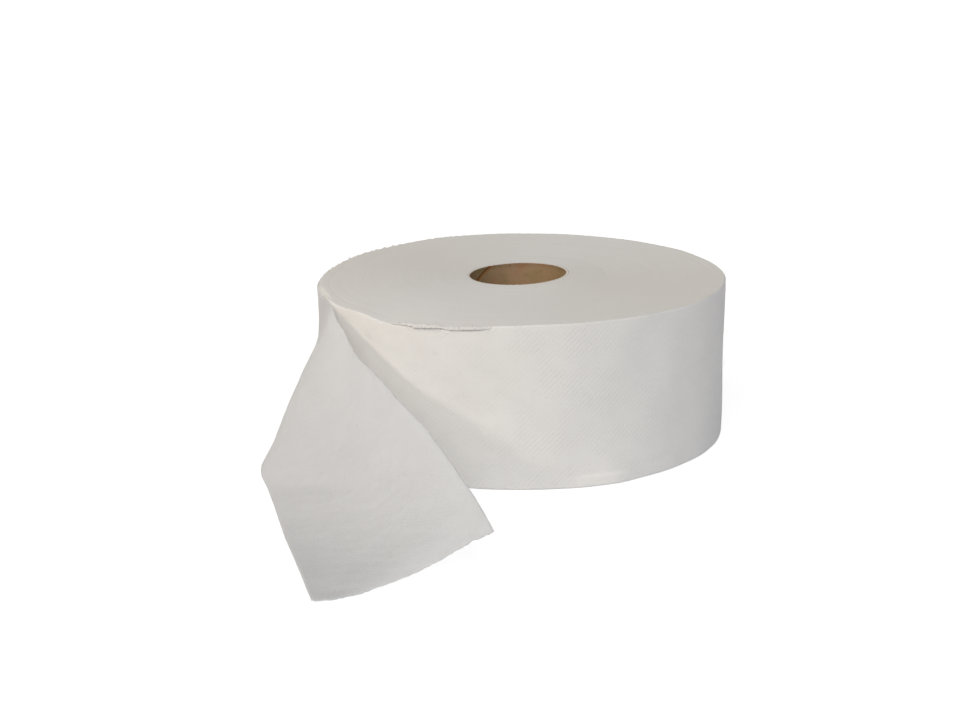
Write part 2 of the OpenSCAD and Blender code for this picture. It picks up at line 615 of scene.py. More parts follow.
@dataclass(frozen=True)
class RollSizes:
    """Sizes that every piece shares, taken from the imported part, and the side's dents."""

    radius: float
    width: float
    slump: float
    bore_radius: float
    core_radius: float
    dent_depth: float = 0.22 * MM

    @classmethod
    def from_frame(cls, record: dict[str, Any]) -> RollSizes:
        """Reads the sizes.

        Args:
            record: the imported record.

        Returns:
            The sizes in metres.
        """
        paper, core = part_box("paper")[1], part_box("core")[1]
        bore = next(m for m in record["mounts"] if m["name"] == "core_bore")
        return cls(radius=round(paper.y, 4), width=round(paper.z, 5),
                   slump=round(paper.x - paper.y, 4),
                   bore_radius=bore["dims"]["r_mm"] * MM, core_radius=round(core.x, 5))

    @property
    def around(self) -> float:
        """Way round the wound side, in metres."""
        return 2 * math.pi * self.radius

    def dents(self, arc: np.ndarray, height: np.ndarray) -> np.ndarray:
        """Soft dents of the wound side, which the loose sheet follows where it lies there.

        Args:
            arc: metres round the side.
            height: metres above the floor.

        Returns:
            How far the side stands out, in metres.
        """
        return self.dent_depth * Waves(1, 90 * MM, 28 * MM, 22, self.around).at(arc, height)


@dataclass
class Rim:
    """Upper outer edge of the roll, which has sunk and frayed on the left.

    Its tables give angles about the roll's axis in degrees, and lengths in millimetres.
    """

    sizes: RollSizes
    reach: float = 50 * MM
    curve: float = 1.7
    sink: Table = (
        (100, 0), (117, 0.2), (130, 1.1), (145, 1.8), (166, 3.3), (180, 3.9), (190, 4.0),
        (197, 3.7), (203, 3.6), (208, 4.1), (213, 4.2), (219, 3.3), (223, 3.1), (227, 4.5),
        (230, 5.4), (234, 5.7), (238, 4.7), (242, 4.1), (247, 3.1), (251, 3.1), (255, 2.5),
        (260, 1.7), (264, 0.9), (269, 0.6), (277, 0))
    slip: Table = (
        (184, 0), (188, 0.6), (191, 1.3), (194, 1.5), (197, 1.3), (200, 0.8), (205, 0))

    def drop(self, angle: np.ndarray) -> np.ndarray:
        """How far the rim has sunk.

        Args:
            angle: angle about the roll's axis, in radians.

        Returns:
            The drop in metres.
        """
        return self.soft(self.sink, np.degrees(angle) % 360)

    def slipped(self, angle: np.ndarray) -> np.ndarray:
        """How far the outermost turns have slipped below the others, in metres."""
        return self.soft(self.slip, np.degrees(angle) % 360)

    @staticmethod
    def soft(table: Table, turned: np.ndarray) -> np.ndarray:
        """Reads a table and rounds off its corners.

        Args:
            table: angles in degrees and lengths in millimetres.
            turned: angles about the roll's axis, in degrees.

        Returns:
            Lengths in metres.
        """
        spots, lengths = np.array(table).T
        near = [np.interp(turned + k, spots, lengths, left=0, right=0) for k in (-2, -1, 0, 1, 2)]
        return np.mean(near, 0) * MM

    def fray(self, angle: np.ndarray) -> np.ndarray:
        """Small bumps of the rim, largest on the left.

        Args:
            angle: angle about the roll's axis, in radians.

        Returns:
            Heights in metres, with a spread of about 0.3 mm on the left.
        """
        arc = angle * self.sizes.radius
        ripple = Waves(4, 11 * MM, 3.5 * MM, 30, self.sizes.around).at(arc)
        turned = np.degrees(angle) % 360
        ragged = step(turned, 95, 130) * step(turned, 262, 235)
        return ripple * (0.06 + 0.26 * ragged) * MM

    def height(self, angle: np.ndarray) -> np.ndarray:
        """Height of the rim above the floor, in metres."""
        return self.sizes.width - self.drop(angle) - self.slipped(angle)


class Mesher:
    """Collects quads over grids of points into one mesh."""

    def __init__(self, name: str) -> None:
        """Starts an empty mesh.

        Args:
            name: the object's name.
        """
        self.name = name
        self.points: list[np.ndarray] = []
        self.quads: list[np.ndarray] = []
        self.uvs: list[np.ndarray] = []
        self.slots: list[np.ndarray] = []
        self.count = 0

    def grid(self, points: np.ndarray, uv: np.ndarray, slots: np.ndarray | int = 0,
             wrap_rows: bool = False, wrap_columns: bool = False) -> np.ndarray:
        """Adds a grid of points with quads between them.

        Args:
            points: rows x columns x 3.
            uv: web coordinates in metres at the corners, one more row or column where it wraps.
            slots: material slot, for all quads or for each row of quads.
            wrap_rows: joins the last row to the first.
            wrap_columns: joins the last column to the first.

        Returns:
            The points' numbers in the mesh, as rows x columns.
        """
        rows, columns = points.shape[:2]
        numbers = self.count + np.arange(rows * columns).reshape(rows, columns)
        self.points.append(points.reshape(-1, 3))
        self.count += rows * columns
        i, j = np.meshgrid(np.arange(rows - (not wrap_rows)),
                           np.arange(columns - (not wrap_columns)), indexing="ij")
        i2, j2 = (i + 1) % rows, (j + 1) % columns
        self.quads.append(np.stack([numbers[i, j], numbers[i, j2], numbers[i2, j2],
                                    numbers[i2, j]], -1).reshape(-1, 4))
        corners = np.stack([uv[i, j], uv[i, j + 1], uv[i + 1, j + 1], uv[i + 1, j]], 2)
        self.uvs.append(corners.reshape(-1, 2))
        per_row = np.broadcast_to(np.asarray(slots), (i.shape[0],))
        self.slots.append(np.repeat(per_row, i.shape[1]))
        return numbers

    def strip(self, one: np.ndarray, other: np.ndarray, uv: np.ndarray, slot: int = 0) -> None:
        """Joins two lines of points that are in the mesh already.

        Args:
            one: numbers of the first line's points.
            other: numbers of the second line's points, as many.
            uv: web coordinates in metres along the lines.
            slot: material slot.
        """
        self.quads.append(np.stack([one[:-1], one[1:], other[1:], other[:-1]], -1))
        self.uvs.append(np.stack([uv[:-1], uv[1:], uv[1:], uv[:-1]], 1).reshape(-1, 2))
        self.slots.append(np.full(len(one) - 1, slot))

    def build(self, materials: Sequence[bpy.types.Material]) -> bpy.types.Object:
        """Makes the object.

        Args:
            materials: what its slots hold.

        Returns:
            The object, smoothly shaded, in the scene.
        """
        mesh = bpy.data.meshes.new(self.name)
        points, quads = np.concatenate(self.points), np.concatenate(self.quads)
        mesh.from_pydata(points.tolist(), [], quads.tolist())
        layer = mesh.uv_layers.new(name="web")
        layer.data.foreach_set("uv", np.concatenate(self.uvs).ravel())
        for material in materials:
            mesh.materials.append(material)
        mesh.polygons.foreach_set("material_index", np.concatenate(self.slots).astype(np.int32))
        mesh.polygons.foreach_set("use_smooth", np.ones(len(quads), bool))
        mesh.update()
        made = bpy.data.objects.new(self.name, mesh)
        bpy.context.scene.collection.objects.link(made)
        return made


def finish_piece(piece: bpy.types.Object, slot: str, *nodes: str) -> bpy.types.Object:
    """Lets a piece ride on the part, hides the CAD nodes that it stands for, and logs its slot.

    Args:
        piece: the piece.
        slot: the record's material slot, which is only logged.
        nodes: CAD nodes that it replaces.

    Returns:
        The same piece.
    """
    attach(piece, "root")
    if nodes:
        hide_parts(*nodes)
    log.info("%s: %d faces, %s", piece.name, len(piece.data.polygons), slot)
    return piece


@dataclass
class WoundRoll:
    """The wound body: soft side, two cut faces and their rims."""

    sizes: RollSizes
    rim: Rim
    leave: float
    ply: float = 0.4 * MM
    gap: float = 0.05 * MM
    rim_radius: float = 1.1 * MM
    foot_radius: float = 1.1 * MM
    columns: int = 560
    bands: int = 12
    crease_height: float = 5.6 * MM
    crease_depth: float = 1.1 * MM
    foot_flare: float = 0.5 * MM
    band_depth: float = 0.05 * MM
    band_half: float = 0.7 * MM
    ring_height: float = 0.03 * MM
    slip_span: tuple[float, float] = (3.4 * MM, 1.4 * MM)
    core_pull: float = 26 * MM

    def profile(self) -> list[tuple[float, float, int]]:
        """Outline of the section, from the bore's foot out, up and back in.

        Returns:
            Radius, height and material slot of each row: 0 is the side and 1 a cut face.
        """
        inner, r, w = self.sizes.core_radius + self.gap, self.sizes.radius, self.sizes.width
        e, f, near = self.rim_radius, self.foot_radius, 0.12 * MM
        rows = [(x, 0.0, 1) for x in (inner, inner + near, *np.linspace(inner + 4 * MM, r - f, 14))]
        rows += [(r - f + f * math.sin(a), f - f * math.cos(a), 1 if a < 0.7 else 0)
                 for a in np.linspace(0.25, 1.3, 5)]
        # Rows lie closer near the foot and the rim, and where the outermost turns have slipped
        heights = (np.linspace(f, 9 * MM, 13), np.linspace(11 * MM, w - 13 * MM, 32),
                   np.linspace(w - 11.5 * MM, w - e, 9))
        rows += [(r, z, 0) for z in np.concatenate(heights)]
        rows += [(r - e + e * math.cos(a), w - e + e * math.sin(a), 0 if a < 0.8 else 1)
                 for a in np.linspace(0.25, 1.35, 6)]
        marks = set(np.round(np.linspace(r - e, inner, 36), 6)) | {round(inner + near, 6)}
        marks |= {round(r - x * MM, 6) for x in (1.7, 2.4, 3.1, 4.4, 5.2, 6.0, 7.5)}
        for k in range(1, self.bands + 1):
            middle = self.band_radius(k)
            marks |= {round(middle + d, 6) for d in (-self.band_half, 0.0, self.band_half)}
        rows += [(x, w, 1) for x in sorted(marks, reverse=True)]
        rows += [(inner, z, 1) for z in (w - near, w - 4 * MM, w / 2, 4 * MM, near)]
        return rows

    def band_radius(self, k: int) -> float:
        """Radius of the k-th groove between bands of turns, as in the CAD part."""
        share = k / (self.bands + 1)
        return self.sizes.core_radius + share * (self.sizes.radius - self.sizes.core_radius)

    def points(self, rows: list[tuple[float, float, int]]) -> np.ndarray:
        """Places the section round the axis, with its dents, rings and sunken rim.

        Args:
            rows: the section's outline.

        Returns:
            Points as rows x columns x 3.
        """
        s = self.sizes
        angle = self.leave + np.arange(self.columns) * 2 * math.pi / self.columns
        radius, height = (np.array([row[k] for row in rows])[:, None] for k in (0, 1))
        arc = angle * s.radius
        outer = step(radius, s.radius - 25 * MM, s.radius)
        wound = self.ply * (1 - np.arange(self.columns) / self.columns)
        dents = s.dents(arc[None, :], height)
        r = radius + outer * (dents - wound[None, :] + self.crease(angle, height))
        top = step(height, s.width * 0.3, s.width)
        ramp = np.clip((radius - s.radius) / self.rim.reach + 1, 0, 1) ** self.rim.curve
        z = height - top * ramp * self.rim.drop(angle)[None, :]
        last = step(radius, *(s.radius - inset for inset in self.slip_span))
        z = z - top * last * self.rim.slipped(angle)[None, :]
        edge = step(radius, s.radius - 2.5 * MM, s.radius) * step(height, s.width - 6 * MM, s.width)
        z = z + edge * self.rim.fray(angle)[None, :]
        face = np.clip((height - s.width / 2) / (s.width / 2), -1, 1)
        flat = (np.abs(face) > 0.999).astype(float)
        z = z + flat * np.sign(face) * self.relief(radius, arc)
        pushed = step(radius, s.core_radius + self.core_pull, s.core_radius)
        z = z + top * pushed * slant(angle)[None, :]
        z = np.clip(z, 0.0, None)
        share = np.clip((radius - s.core_radius) / (s.radius - s.core_radius), 0, 1)
        x = s.slump * share + r * np.cos(angle)[None, :]
        y = r * np.sin(angle)[None, :]
        return np.stack(np.broadcast_arrays(x, y, z), -1)

    def relief(self, radius: np.ndarray, arc: np.ndarray) -> np.ndarray:
        """Rings of ply edges on a cut face, and worn grooves between bands of turns.

        Args:
            radius: radius of each row, in metres.
            arc: metres round the side at each column.

        Returns:
            How far the face stands out, in metres.
        """
        around = self.sizes.around
        rings = Waves(7, 9 * MM, 3 * MM, 16).at(radius)
        rings = rings * (0.6 + 0.4 * Waves(9, 300 * MM, 90 * MM, 8, around).at(arc)[None, :])
        groove = np.zeros_like(radius)
        for k in range(1, self.bands + 1):
            from_middle = np.abs(radius - self.band_radius(k))
            groove = np.maximum(groove, step(from_middle, self.band_half, 0))
        worn = 0.45 + 0.55 * step(Waves(12, 260 * MM, 60 * MM, 10, around).at(arc), -1.2, 1.0)
        return self.ring_height * rings - self.band_depth * groove * worn[None, :]

    def crease(self, angle: np.ndarray, height: np.ndarray) -> np.ndarray:
        """Low fold near the foot of the side, at the front right: the side steps out below it.

        Args:
            angle: angle about the axis, in radians.
            height: height above the floor, in metres.

        Returns:
            How far it stands out, in metres.
        """
        turned = np.degrees(angle) % 360
        span = step(turned, 279, 287) * step(turned, 304, 293)
        up = height - (self.crease_height + 0.4 * MM * np.sin(np.radians(turned * 9)))[None, :]
        stands = 0.8 * step(up, 1.6 * MM, -0.8 * MM) + 0.2 * step(up, -0.8 * MM, -5 * MM)
        flare = step(turned, 245, 256) * step(turned, 300, 282)
        flare = flare[None, :] * step(height, 7 * MM, 0) ** 2
        return self.crease_depth * span[None, :] * stands + self.foot_flare * flare

    def build(self, side: bpy.types.Material, cut: bpy.types.Material) -> bpy.types.Object:
        """Makes the piece.

        Args:
            side: material of the wound side.
            cut: material of the cut faces.

        Returns:
            The piece, which stands for the CAD paper.
        """
        rows = self.profile()
        radius, height, slots = (np.array([row[k] for row in rows]) for k in range(3))
        arc = self.sizes.radius * (self.leave + np.arange(self.columns + 1) * 2 * math.pi
                                   / self.columns)
        run = np.hypot(np.diff(radius, append=radius[0]), np.diff(height, append=height[0]))
        across = np.append(0, np.cumsum(run)) - (self.sizes.radius - radius[0])
        uv = np.stack(np.broadcast_arrays(arc[None, :], across[:, None]), -1)
        mesher = Mesher("wound_roll")
        mesher.grid(self.points(rows), uv, slots.astype(int), wrap_rows=True, wrap_columns=True)
        return finish_piece(mesher.build([side, cut]), "tissue", "paper")


@dataclass(frozen=True)
class SheetPath:
    """Where the loose end runs: the CAD part's own law, in metres and degrees.

    Leans, sides and sags stand at even steps from the rim to the end, the sags in millimetres.
    """

    sizes: RollSizes
    thickness: float = 0.4 * MM
    length: float = 326 * MM
    leave: float = 164.5
    rim_run: float = 70 * MM
    flare_run: float = 116 * MM
    bend_turn: float = 31
    bend_radius: float = 32 * MM
    bend_rise: float = 3 * MM
    rise_reach: float = 25 * MM
    edge_gap: float = 0.1 * MM
    lead_in: float = 24 * MM
    tucked: float = 0.15 * MM
    most_lean: float = 0.95
    leans: tuple[float, ...] = (27, 35.5, 46.5, 61.5, 74.5)
    sides: tuple[float, ...] = (3, 8, 13, 18, 21)
    sags: tuple[float, ...] = (4, 0, 12, 13, 11, 6.5)

    @staticmethod
    def along(degrees: np.ndarray | float) -> np.ndarray:
        """Unit vectors on the floor at these headings."""
        return np.stack([np.cos(np.radians(degrees)), np.sin(np.radians(degrees))], -1)

    @staticmethod
    def smooth(values: Sequence[float], t: np.ndarray) -> np.ndarray:
        """Smooth curve through even steps.

        Args:
            values: the curve's values at even steps.
            t: from 0 at the first step to 1 at the last.

        Returns:
            The curve at t.
        """
        p = np.array([2 * values[0] - values[1], *values, 2 * values[-1] - values[-2]], float)
        last = len(values) - 1
        k = np.clip(np.floor(t * last).astype(int), 0, last - 1)
        f = t * last - k
        a, b, c, d = p[k], p[k + 1], p[k + 2], p[k + 3]
        return (2 * b + (c - a) * f + (2 * a - 5 * b + 4 * c - d) * f ** 2
                + (3 * b - 3 * c + d - a) * f ** 3) / 2

    @property
    def edge_z(self) -> float:
        """Height of the lower edge where it lies on the floor."""
        return self.thickness / 2 + self.edge_gap

    def chord(self, sag: np.ndarray | float) -> np.ndarray | float:
        """Straight width of the sheet when it sags across its width."""
        return self.sizes.width - 2 * self.edge_z - 8 / 3 * sag ** 2 / self.sizes.width

    def lower_edge(self, s: np.ndarray) -> np.ndarray:
        """The lower edge on the floor: straight off the roll, one bend, then straight.

        Args:
            s: metres along the sheet.

        Returns:
            Points on the floor, from the roll's middle.
        """
        turn = math.radians(self.bend_turn)
        bend = self.bend_radius * turn
        off_roll = self.sizes.radius * self.along(self.leave)
        start = off_roll + self.flare_run * self.along(self.leave + 90)
        centre = start + self.bend_radius * self.along(self.leave + 180)
        end = centre + self.bend_radius * self.along(self.leave + self.bend_turn)
        on = s[..., None]
        straight = off_roll + on * self.along(self.leave + 90)
        swept = np.clip((s - self.flare_run) / self.bend_radius, 0, turn)
        curved = centre + self.bend_radius * self.along(self.leave + np.degrees(swept))
        tail = end + (on - self.flare_run - bend) * self.along(self.leave + 90 + self.bend_turn)
        past = np.where(on < self.flare_run + bend, curved, tail)
        return np.where(on < self.flare_run, straight, past)

    def rim_offset(self, s: np.ndarray) -> np.ndarray:
        """From the lower edge to the rim, while the upper edge lies on it."""
        turned = self.leave + np.degrees(s / self.sizes.radius)
        return self.sizes.radius * self.along(turned) - self.lower_edge(s)

    def hang(self, run: np.ndarray) -> tuple[np.ndarray, np.ndarray, np.ndarray]:
        """How the sheet hangs: first from the rim, then free.

        Args:
            run: metres along it, from where it leaves the roll.

        Returns:
            Its lean and its heading in degrees, and its sag in metres.
        """
        on_rim = np.minimum(run, self.rim_run)
        offset = self.rim_offset(on_rim)
        size = np.linalg.norm(offset, axis=-1)
        heading = np.degrees(np.arctan2(offset[..., 1], offset[..., 0]))
        heading = np.where(on_rim <= 0.01 * MM, self.leave + 180, heading % 360)
        lean = np.degrees(np.arcsin(np.clip(size / self.chord(0), 0, self.most_lean)))
        knot = self.rim_offset(np.array([self.rim_run]))[0]
        first = math.degrees(math.atan2(knot[1], knot[0]))
        reach = float(np.linalg.norm(knot)) / self.chord(0)
        tilt = math.degrees(math.asin(min(reach, self.most_lean)))
        t = np.clip((run - self.rim_run) / (self.length - self.rim_run), 0, None)
        free = run >= self.rim_run
        lean = np.where(free, self.smooth((tilt, *self.leans), t), lean)
        heading = np.where(free, self.smooth((first, *self.sides), t), heading)
        sag = np.where(free, self.smooth(self.sags, t), self.sags[0] * run / self.rim_run) * MM
        return lean, heading, sag

    def middle(self, s: np.ndarray, w: np.ndarray) -> np.ndarray:
        """Middle of the sheet's thickness.

        Args:
            s: metres along the sheet, from -lead_in at the last turn to its length.
            w: share of the width, from 0 at the lower edge to 1 at the upper one.

        Returns:
            Points from the roll's middle, not yet shifted by the slump.
        """
        run = np.clip(s, 0, None)
        lean, heading, sag = self.hang(run)
        lean, side, foot = np.radians(lean), self.along(heading), self.lower_edge(run)
        up, dip = w * self.chord(sag), 4 * w * (1 - w) * sag
        flat = foot + (up * np.sin(lean) + dip * np.cos(lean))[..., None] * side
        mid_bend = self.flare_run + self.bend_radius * math.radians(self.bend_turn) / 2
        foot_z = self.edge_z + self.bend_rise * np.exp(-((run - mid_bend) / self.rise_reach) ** 2)
        z = np.maximum(foot_z + up * np.cos(lean) - dip * np.sin(lean), self.edge_z)
        grow = np.maximum(1, self.sizes.radius / np.linalg.norm(flat, axis=-1))
        flat = flat * grow[..., None]
        turned = self.leave + np.degrees(s / self.sizes.radius)
        last = (self.sizes.radius - self.tucked) * self.along(turned)
        flat = np.where((s < 0)[..., None], last, flat)
        z = np.where(s < 0, self.edge_z + w * self.chord(0), z)
        return np.concatenate([flat, z[..., None]], -1)


@dataclass
class LooseSheet:
    """The loose end: a thin soft sheet with a torn, scalloped end.

    Its tables give millimetres along the sheet, and by how many millimetres it is moved there.
    """

    path: SheetPath
    rim: Rim
    along_cells: int = 300
    across_cells: int = 90
    scallop: float = 3.9 * MM
    tooth: float = 1.05 * MM
    end_fray: float = 0.16 * MM
    cut_corner: float = 3.0 * MM
    upper_reach: float = 2.2 * MM
    hold: float = 45 * MM
    hold_slant: float = 0.8
    wave_depth: float = 0.30 * MM
    crumple_depth: float = 0.10 * MM
    fold_foot: float = 152 * MM
    fold_side: tuple[float, float] = (-0.52, 0.855)
    fold_width: float = 7 * MM
    floor_gap: float = 0.05 * MM
    upper_shift: Table = (
        (0, 0.4), (58, 0.5), (67, 0.8), (74, 1.8), (81, 2.6), (88, 3.0), (95, 2.7), (104, 2.6),
        (120, 3.3), (136, 2.2), (144, 1.5), (152, 0.9), (160, 0.6), (168, 0.9), (176, 1.8),
        (184, 2.5), (192, 2.3), (204, 1.9), (222, 1.6), (240, 2.0), (256, 1.9), (272, 1.6),
        (326, 1.2))
    fold: Table = ((150, 0), (162, 1.3), (190, 1.1), (240, 0.4), (290, 0))
    bulge: Table = ((62, 0), (86, 1.5), (114, 1.6), (138, 0))
    lower_shift: Table = (
        (0, 0.4), (50, 0.4), (70, -0.2), (96, 0.4), (110, 0.9), (124, 1.6), (131, 1.2), (138, 0),
        (146, -0.7), (156, -0.2), (166, 0.3), (190, 0.3), (212, -0.2), (240, -0.6), (270, 0),
        (326, 0.4))

    def torn_end(self, w: np.ndarray) -> np.ndarray:
        """How far the torn end reaches past or falls short of its length.

        Args:
            w: share of the width.

        Returns:
            Metres along the sheet.
        """
        width = self.path.sizes.width
        phase = w * width / self.scallop + 0.35 * np.sin(31 * w) + 0.2 * np.sin(83 * w + 1)
        teeth = np.abs(np.sin(math.pi * phase)) ** 0.8 * (0.55 + 0.45 * np.sin(23 * w + 2) ** 2)
        frays = Waves(21, 12 * MM, 3 * MM, 22).at(w * width)
        corner = self.cut_corner * step(w * width, 3.4 * MM, 0) ** 1.5
        reach = self.upper_reach * step(w, 0.86, 1.0)
        return self.tooth * (teeth - 0.8) + self.end_fray * frays + reach - corner

    def settle(self, points: np.ndarray, s: np.ndarray, w: np.ndarray) -> np.ndarray:
        """Lays the upper edge against the sunken rim, and moves edges and middle sideways.

        Args:
            points: the sheet's points.
            s: metres along it.
            w: share of its width.

        Returns:
            The points, moved.
        """
        angle = math.radians(self.path.leave) + s / self.path.sizes.radius
        rim = self.rim.height(angle) + self.rim.fray(angle)
        top = self.path.middle(s, np.ones_like(s))[..., 2]
        down = np.clip(top - rim + 0.1 * MM, 0, None) * step(s, 125 * MM, 82 * MM)
        moved = points.copy()
        moved[..., 2] -= down * w ** 1.3
        upper, lower = look_up(self.upper_shift, s), look_up(self.lower_shift, s)
        out = look_up(self.bulge, s)
        base = (1 - w) ** 2 + w * (1 - w) * 2 * step(s, 70 * MM, 20 * MM)
        moved[..., 0] += upper * w ** 2 + lower * base - out * np.sin(math.pi * w ** 1.3) ** 2
        return moved

    def outside(self, points: np.ndarray, s: np.ndarray) -> np.ndarray:
        """How much the sheet has to widen to stay outside the roll's dented side.

        Args:
            points: the sheet's points, with the roll's axis as their origin.
            s: metres along it.

        Returns:
            Factor on the distance from the axis.
        """
        radius = self.path.sizes.radius
        start = math.radians(self.path.leave)
        angle = start + (np.arctan2(points[..., 1], points[..., 0]) - start) % (2 * math.pi)
        side = radius + self.path.sizes.dents(angle * radius, points[..., 2])
        near = np.hypot(points[..., 0], points[..., 1])
        least = side + (0.25 * step(s, 4 * MM, 50 * MM) - 0.38) * MM
        return np.where((s > 4 * MM) & (near < least), least / near, 1.0)

    def points(self) -> tuple[np.ndarray, np.ndarray, np.ndarray, np.ndarray]:
        """Both faces of the sheet.

        Returns:
            Front and back points, and the grid's s and w.
        """
        path = self.path
        w = np.linspace(0, 1, self.across_cells + 1)[None, :]
        share = np.linspace(0, 1, self.along_cells + 1)[:, None]
        end = path.length + self.torn_end(w)
        s = -path.lead_in + share * (end + path.lead_in)
        s, w = np.broadcast_arrays(s, w)
        middle = self.settle(path.middle(s, w), s, w)
        run, rise = np.gradient(middle, axis=0), np.gradient(middle, axis=1)
        normal = np.cross(run, rise)
        normal /= np.linalg.norm(normal, axis=-1, keepdims=True)
        up = w * path.sizes.width
        arc = math.radians(path.leave) * path.sizes.radius + s
        held = step(s - self.hold_slant * up, self.hold, 0)
        middle = middle + normal * (path.sizes.dents(arc, up) * held)[..., None]
        waves = self.wave_depth * Waves(31, 60 * MM, 22 * MM, 20).at(s, up)
        waves += self.crumple_depth * Waves(32, 16 * MM, 7 * MM, 30).at(s, up)
        free = (1 - held) * step(s, 0, self.hold) * (0.25 + 0.75 * step(up, 0, 12 * MM))
        off = self.fold_side[0] * (s - self.fold_foot) + self.fold_side[1] * up
        valley = look_up(self.fold, s) * np.exp(-(off / self.fold_width) ** 2)
        middle = middle + normal * (waves * free - valley)[..., None]
        middle[..., :2] *= self.outside(middle, s)[..., None]
        half = path.thickness / 2
        shift = np.array([path.sizes.slump, 0, 0])
        front, back = middle + normal * half + shift, middle - normal * half + shift
        for face in (front, back):
            face[..., 2] = np.maximum(face[..., 2], self.floor_gap)
        return front, back, s, w

    def build(self, material: bpy.types.Material) -> bpy.types.Object:
        """Makes the piece.

        Args:
            material: the loose tissue.

        Returns:
            The piece, which stands for the CAD paper with the wound roll.
        """
        front, back, s, w = self.points()
        uv = np.stack([self.path.sizes.radius * math.radians(self.path.leave) + s,
                       w * self.path.sizes.width], -1)
        mesher = Mesher("loose_sheet")
        a = mesher.grid(front, uv)
        b = mesher.grid(back[:, ::-1], uv[:, ::-1])[:, ::-1]
        mesher.strip(b[0], a[0], uv[0])
        mesher.strip(a[-1], b[-1], uv[-1])
        mesher.strip(a[:, 0], b[:, 0], uv[:, 0])
        mesher.strip(b[:, -1], a[:, -1], uv[:, -1])
        return finish_piece(mesher.build([material]), "tissue", "paper")


@dataclass
class RolledHem:
    """Edge of the outermost ply at the front rim, curled out over the side.

    Each spot is an angle in degrees, then in millimetres the height of the line at which the hem
    leaves the side, the height of its crest, and how far it stands off. Each step of the section
    is a share of the stand-off, an inset in millimetres, and a share of the way up to the crest.
    """

    sizes: RollSizes
    columns: int = 260
    root: float = 0.5 * MM
    spots: tuple[tuple[float, float, float, float], ...] = (
        (233.5, 90.4, 90.8, 0), (235, 90.6, 91.6, 0.4), (238, 90.9, 92.7, 0.7),
        (240, 91.0, 93.0, 0.9), (241.8, 90.5, 93.1, 1.4), (243.4, 90.8, 93.2, 1.6),
        (245.7, 91.4, 93.4, 1.6), (248.6, 92.1, 93.6, 1.4), (250.3, 91.8, 93.0, 0.9),
        (251.5, 91.4, 93.1, 1.0), (254, 91.7, 93.6, 1.3), (257.3, 92.3, 94.7, 1.2),
        (259.6, 92.7, 94.5, 1.0), (261.3, 93.1, 94.2, 0.6), (263, 93.8, 94.2, 0))
    section: tuple[tuple[float, float, float], ...] = (
        (0, -0.9, 0), (0.1, 0, 0), (0.6, 0, 0.01), (0.92, 0, 0.05), (1, 0, 0.2),
        (0.93, 0, 0.42), (0.7, 0, 0.67), (0.42, 0, 0.88), (0.12, 0, 1), (0, -0.5, 0.98),
        (0, -1.4, 0.5), (0, -1.6, 0.15))

    def build(self, material: bpy.types.Material) -> bpy.types.Object:
        """Makes the piece.

        Args:
            material: the tissue.

        Returns:
            The piece, part of the CAD paper.
        """
        turned = np.linspace(self.spots[0][0], self.spots[-1][0], self.columns + 1)
        spots = np.array(self.spots).T
        line, crest, off = (np.interp(turned, spots[0], row) * MM for row in spots[1:])
        arc = np.radians(turned) * self.sizes.radius
        line = line + 0.08 * MM * Waves(52, 6 * MM, 2.5 * MM, 20).at(arc)
        crest = crest + 0.16 * MM * Waves(51, 5 * MM, 1.6 * MM, 26).at(arc)
        off = off * (1 + 0.15 * Waves(53, 7 * MM, 2 * MM, 20).at(arc))
        share, inset, rise = (np.array(column)[:, None] for column in zip(*self.section))
        r = self.sizes.radius - self.root + share * off + inset * MM
        height = line + rise * (crest - line)
        angle = np.radians(turned)[None, :]
        points = np.stack([self.sizes.slump + r * np.cos(angle), r * np.sin(angle), height], -1)
        around = np.linspace(0, 6 * MM, len(self.section) + 1)[:, None]
        uv = np.stack(np.broadcast_arrays(arc[None, :], around), -1)
        mesher = Mesher("rolled_hem")
        mesher.grid(points, uv, wrap_rows=True)
        return finish_piece(mesher.build([material]), "tissue", "paper")


